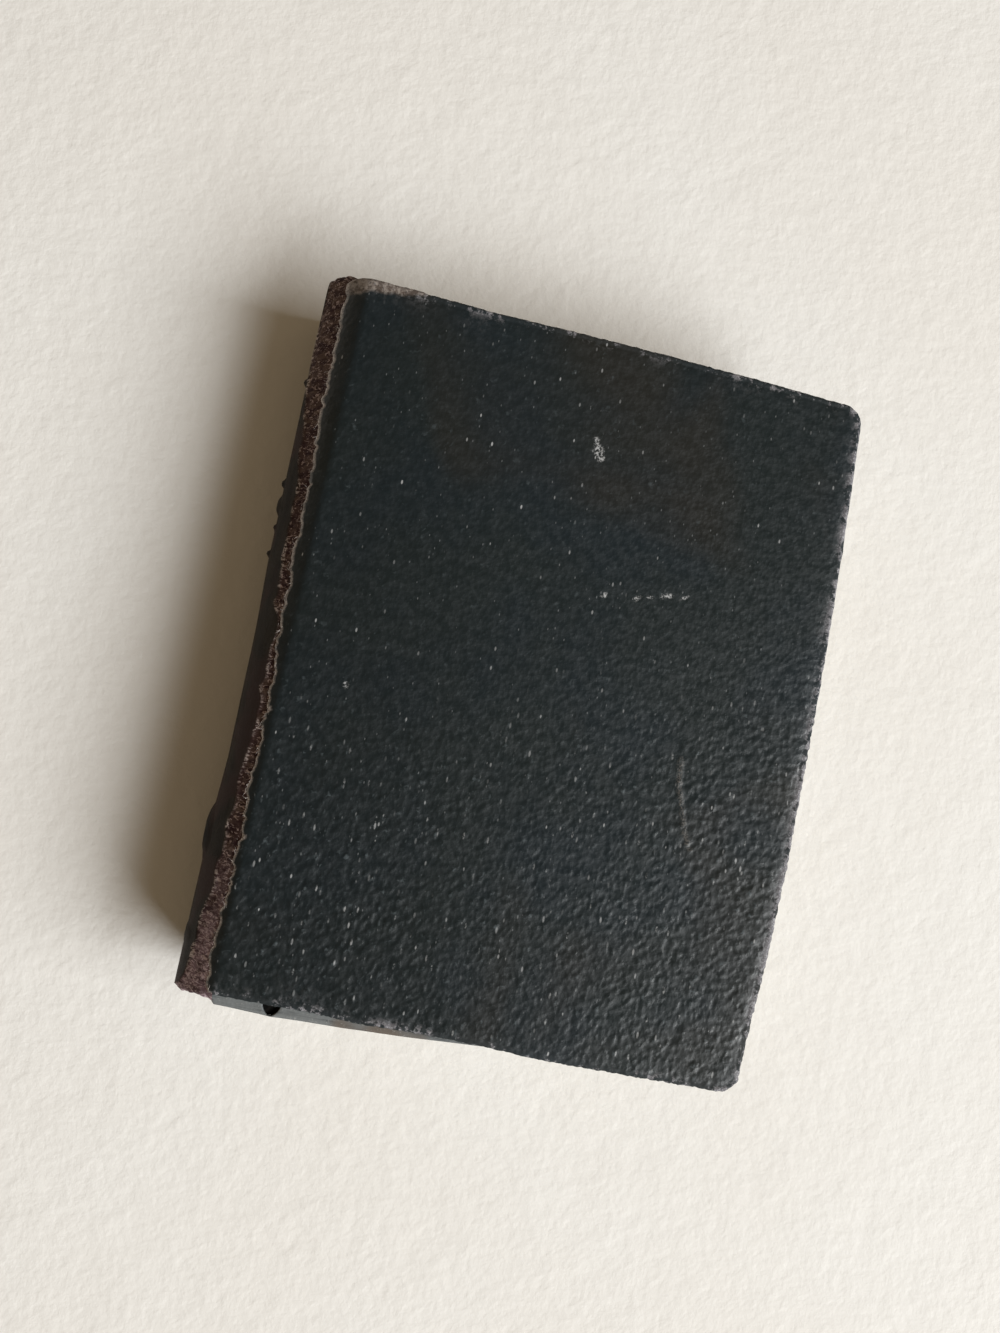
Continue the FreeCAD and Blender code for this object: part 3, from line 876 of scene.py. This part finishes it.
def printed_paper(name, pale, dark):
    """Page paper with rows of plain dashes and a thin ruled border."""
    s, blank = paper_shader(name, pale, dark)
    place = s.nodes.new("ShaderNodeTexCoord").outputs["Generated"]
    split = s.nodes.new("ShaderNodeSeparateXYZ")
    s.links.new(place, split.inputs["Vector"])
    x, y = split.outputs["X"], split.outputs["Y"]
    inside = s.math("MULTIPLY", s.band(x, 0.15, 0.88), s.band(y, 0.12, 0.88))
    rows = s.math("MULTIPLY", y, ROWS_PER_PAGE)
    line = s.band(s.math("FRACT", rows), 0.30, 0.62)
    words = s.nodes.new("ShaderNodeTexNoise")
    words.inputs["Scale"].default_value = 1.0
    words.inputs["Detail"].default_value = 1.0
    spread = s.nodes.new("ShaderNodeCombineXYZ")
    s.plug(s.math("MULTIPLY", x, 64.0), spread.inputs["X"])
    s.plug(s.math("FLOOR", rows), spread.inputs["Y"])
    s.links.new(spread.outputs["Vector"], words.inputs["Vector"])
    ink = s.math("MULTIPLY", s.step(words.outputs["Fac"], 0.40, 0.46), line)
    ink = s.math("MULTIPLY", ink, inside)
    outer = s.math("MULTIPLY", s.band(x, 0.105, 0.925), s.band(y, 0.075, 0.925))
    inner = s.math("MULTIPLY", s.band(x, 0.110, 0.920), s.band(y, 0.0785, 0.9215))
    rule = s.math("SUBTRACT", outer, inner)
    with_ink = s.mix(s.math("MULTIPLY", ink, 0.78), blank, INK)
    s.colour(s.mix(s.math("MULTIPLY", rule, 0.75), with_ink, RULE))
    return s.material


def cloth(name, pale, dark, pitch):
    """A plain weave of threads pitch apart."""
    s = Shader(name, 0.9, 0.2)
    warp = s.nodes.new("ShaderNodeTexWave")
    weft = s.nodes.new("ShaderNodeTexWave")
    warp.bands_direction, weft.bands_direction = "Y", "Z"
    for wave in (warp, weft):
        wave.inputs["Scale"].default_value = 1 / (pitch * 6.28) * 2  # about one band to a pitch
        wave.inputs["Distortion"].default_value = 0.6
        s.links.new(s.place, wave.inputs["Vector"])
    weave = s.math("MAXIMUM", warp.outputs["Fac"], weft.outputs["Fac"])
    s.colour(s.mix(s.step(weave, 0.2, 0.8), dark, s.mix(s.noise(700, 3.0), pale, dark)))
    s.bump(weave, 0.05 * MM, 0.8)
    return s.material


def board_material():
    s = Shader("binder_board", 0.9, 0.2)
    fibre = s.noise(1800, 5.0, 0.7, s.stretched((1.0, 1.0, 5.0)))
    s.colour(s.mix(s.step(fibre, 0.35, 0.65), (0.19, 0.14, 0.09), (0.33, 0.26, 0.18)))
    s.bump(fibre, 0.05 * MM, 0.7)
    return s.material


def floor_material():
    s = Shader("pale_paper_floor", 0.9, 0.2)
    cloud = s.noise(22, 3.0)
    fibre = s.noise(620, 5.0, 0.62)
    s.colour(s.mix(s.step(cloud, 0.3, 0.7), FLOOR_WARM, FLOOR_COOL))
    pits = s.math("ADD", fibre, s.math("MULTIPLY", s.noise(190, 3.0, 0.6), 1.4))
    s.bump(pits, 0.22 * MM, 0.55)
    return s.material


# Marks on the front cover, in mm: (start, end, width)
SCUFFS = (
    ((1.7, 27.7), (2.2, 26.6), 0.20),
    ((1.9, 26.9), (2.6, 25.5), 0.30),
    ((2.5, 26.7), (2.9, 25.7), 0.24),
    ((1.5, 26.4), (2.3, 26.0), 0.14),
    ((12.2, 12.3), (13.1, 12.5), 0.28),
    ((14.1, 12.4), (15.0, 12.8), 0.12),
    ((5.6, 11.0), (6.1, 11.1), 0.20),
    ((9.3, 11.3), (9.8, 11.7), 0.18),
    ((10.3, 11.8), (11.2, 12.0), 0.11),
    ((-19.2, -4.0), (-19.0, -4.3), 0.30),
)
WRINKLE_PATH = ((17.6, -4.6), (17.9, -7.6), (18.9, -10.4), (19.4, -12.2), (20.4, -14.0))
WRINKLE_WIDTH = 0.34


def add_marks(skin):
    """The scuffs and wrinkles on the front cover, as masks on its points."""
    mesh = skin.data
    co = np.zeros(len(mesh.vertices) * 3, np.float32)
    mesh.vertices.foreach_get("co", co)
    co = co.reshape(-1, 3).astype(float)
    x, y = co[:, 0], co[:, 1]
    front = ramp(co[:, 2], TOP - 1.2 * MM, TOP - 0.6 * MM)
    scuffs, wrinkle = 0, 0
    for start, end, width in SCUFFS:
        scuffs = np.maximum(scuffs, stroke(x, y, start, end, width))
    for start, end in zip(WRINKLE_PATH, WRINKLE_PATH[1:]):
        wrinkle = np.maximum(wrinkle, stroke(x, y, start, end, WRINKLE_WIDTH))
    co[:, 2] += 0.05 * MM * wrinkle * front - 0.03 * MM * scuffs * front
    mesh.vertices.foreach_set("co", co.astype(np.float32).ravel())
    for key, value in (("scuffs", scuffs * front), ("wrinkle", wrinkle * front)):
        layer = mesh.attributes.new(key, "FLOAT", "POINT")
        layer.data.foreach_set("value", value.astype(np.float32))
    mesh.update()


def stroke(x, y, start, end, width):
    """1 on a line between two places in mm, fading to 0 at its ragged sides."""
    a, b = np.array(start) * MM, np.array(end) * MM
    run = b - a
    share = np.clip(((x - a[0]) * run[0] + (y - a[1]) * run[1]) / (run @ run), 0, 1)
    off = np.hypot(x - a[0] - share * run[0], y - a[1] - share * run[1])
    off = off + 0.10 * MM * waves(x, y, 0.5 * MM, 61)
    return ramp(off, width * MM, width * MM * 0.35)


# The nodes whose faces show print
PRINTED = ("half_title_leaf", "title_leaf", "calendar_leaf", "opening_leaf", "closing_leaf")
PRINTED += ("index_leaf", "gathering_01", "gathering_10")


# The studio

# Fitted to the photograph: the places in mm, the turn in degrees
CAMERA_AT, CAMERA_TARGET, CAMERA_TURN = (-14.95, -9.73, 134.55), (-3.61, 1.11, 14.45), 11.6
SENSOR_WIDTH, FOCAL_LENGTH = 36, 30.79
FLOOR_HALF = 9  # half of the floor's width, in metres
WINDOW_WATTS = 43.5
ROOM_COLOUR, ROOM_STRENGTH = (1.0, 0.75, 0.47, 1), 0.20


def light(name, at, size, watts, colour):
    """A rectangular lamp that faces the book."""
    lamp = bpy.data.lights.new(name, "AREA")
    lamp.shape = "RECTANGLE"
    lamp.size, lamp.size_y = size
    lamp.energy = watts
    lamp.color = colour
    made = bpy.data.objects.new(name, lamp)
    bpy.context.scene.collection.objects.link(made)
    made.location = at
    made.rotation_mode = "QUATERNION"
    made.rotation_quaternion = (-Vector(at)).to_track_quat("-Z", "Y")


def studio():
    corners = np.array([(-1, -1, 0), (1, -1, 0), (1, 1, 0), (-1, 1, 0)], float)
    floor = flat_mesh("floor", corners * FLOOR_HALF, np.array([[0, 1, 2, 3]]))
    floor.location.z = min(cad_box[0].z, 0) - 0.01 * MM
    paint(floor, floor_material())
    light("window", (1.20, -0.50, 0.93), (1.45, 0.80), WINDOW_WATTS, (0.985, 1.0, 1.0))
    world = bpy.data.worlds.new("room")
    world.use_nodes = True
    background = world.node_tree.nodes["Background"]
    background.inputs["Color"].default_value = ROOM_COLOUR
    background.inputs["Strength"].default_value = ROOM_STRENGTH
    bpy.context.scene.world = world
    bpy.context.scene.view_settings.view_transform = "Standard"


def camera():
    """A phone held nearly straight above the book, turned a little clockwise."""
    at, turn = Vector(CAMERA_AT) * MM, math.radians(CAMERA_TURN)
    forward = (Vector(CAMERA_TARGET) * MM - at).normalized()
    right = forward.cross(Vector((-math.sin(turn), math.cos(turn), 0))).normalized()
    up = right.cross(forward)
    lens = bpy.data.cameras.new("camera")
    lens.sensor_width = SENSOR_WIDTH
    lens.lens = FOCAL_LENGTH
    lens.clip_start, lens.clip_end = 0.005, 20
    made = bpy.data.objects.new("camera", lens)
    bpy.context.scene.collection.objects.link(made)
    made.matrix_world = Matrix.Translation(at) @ Matrix((right, up, -forward)).transposed().to_4x4()
    bpy.context.scene.camera = made


# Putting it together


def dress_covers():
    front = cover_skin("front_leather_skin", True, GRID_STEP)
    add_marks(front)
    paint(front, black_leather("black_leather_front", True))
    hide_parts("front_cover_leather")
    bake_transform(front)

    fibres = tear_fibres()
    paint(fibres, fibre_material())
    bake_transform(fibres)

    back = cover_skin("back_leather_skin", False, BACK_GRID_STEP)
    paint(back, black_leather("black_leather_back", False))
    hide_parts("back_cover_leather")
    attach(back, "back_cover")

    strip = tail_strip()
    paint(strip, strip_material())
    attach(strip, "front_cover")

    # the near-black layer that is the painted shade in the strip's hole
    backing = strip_backing()
    paint(backing, hidden_leather_material())
    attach(backing, "front_cover")


def dress_spine():
    spine = spine_skin()
    paint(spine, spine_material())
    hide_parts("spine_leather")
    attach(spine, "text_block")


def dress_joints():
    lining = paper("joint_lining", (0.34, 0.28, 0.21), (0.22, 0.17, 0.12))
    for side in ("front", "back"):
        sheet = joint_lining(side)
        paint(sheet, lining)
        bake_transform(sheet)


def dress_nodes():
    """Materials for the sub-parts that keep their own shape."""
    materials = {
        "binder_board": board_material(),
        "liner_paper": paper("liner_paper", (0.42, 0.34, 0.24), (0.30, 0.23, 0.15)),
        "endpaper": paper("endpaper", (0.62, 0.55, 0.44), (0.52, 0.44, 0.33)),
        "page_paper": paper("page_paper", PAGE_PALE, PAGE_DARK),
        "gauze": cloth("gauze", (0.55, 0.50, 0.40), (0.30, 0.26, 0.20), 0.5 * MM),
        "band_cloth": cloth("band_cloth", (0.45, 0.40, 0.33), (0.10, 0.06, 0.06), 0.45 * MM),
        "linen_thread": cloth("linen_thread", (0.62, 0.56, 0.45), (0.40, 0.34, 0.25), 0.2 * MM),
        "black_leather": black_leather("black_leather_plain", False),
    }
    printed = printed_paper("printed_paper", PAGE_PALE, PAGE_DARK)
    for part in frame["record"]["subparts"]:
        material = materials[part["material_slot"]]
        if part["node"] in PRINTED:
            material = printed
        paint(frame["nodes"][part["node"]], material)


camera()
studio()
dress_nodes()
dress_covers()
dress_spine()
dress_joints()
